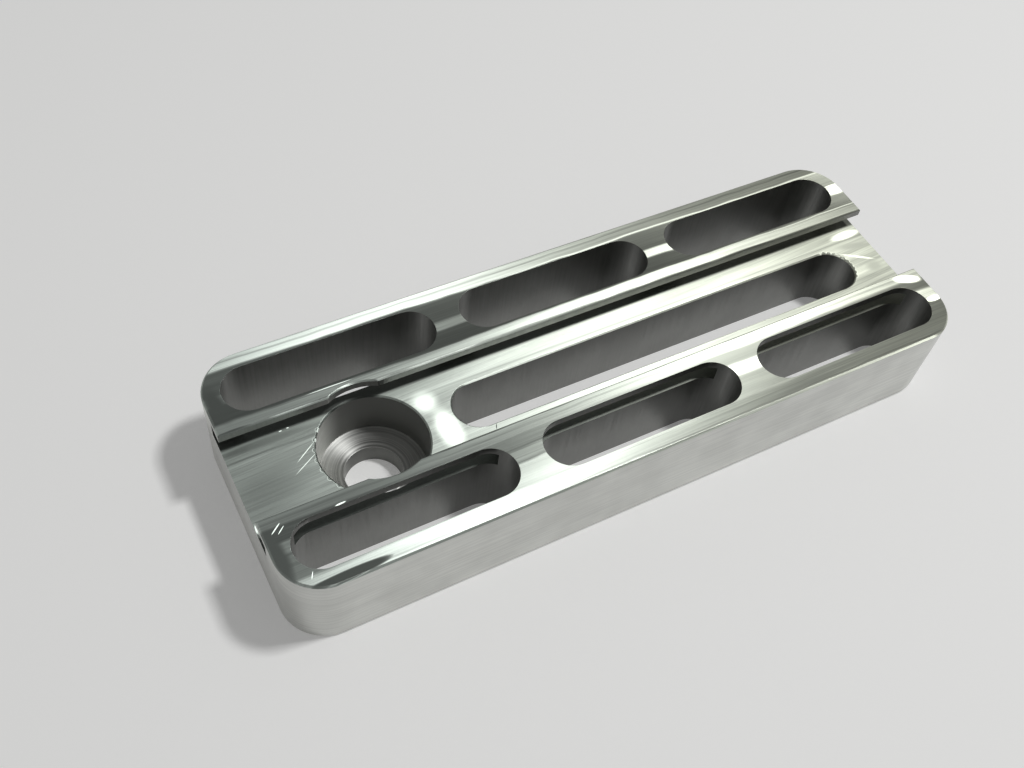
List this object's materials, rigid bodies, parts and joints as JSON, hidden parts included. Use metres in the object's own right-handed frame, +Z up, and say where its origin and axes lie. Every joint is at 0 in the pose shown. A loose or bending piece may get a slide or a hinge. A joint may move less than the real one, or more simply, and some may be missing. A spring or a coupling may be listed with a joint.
{
  "type": "accessory mounting rail",
  "caption": "Flat machined bar with a shallow T-shaped groove along its top, slotted rails on both sides, a long floor slot and a counterbored screw hole.",
  "frame": {"origin": "centre of the bottom face", "axes": "+X along the bar, away from the counterbored hole; +Y across the bar; +Z up, out of the open groove"},
  "size_m": [0.1, 0.0356, 0.0135],
  "materials": {
    "bare_aluminium": "as milled, bare, bright, with fine lengthwise tool marks"
  },
  "bodies": {
    "root": {"accessory_rail": "bare_aluminium"}
  },
  "joints": []
}
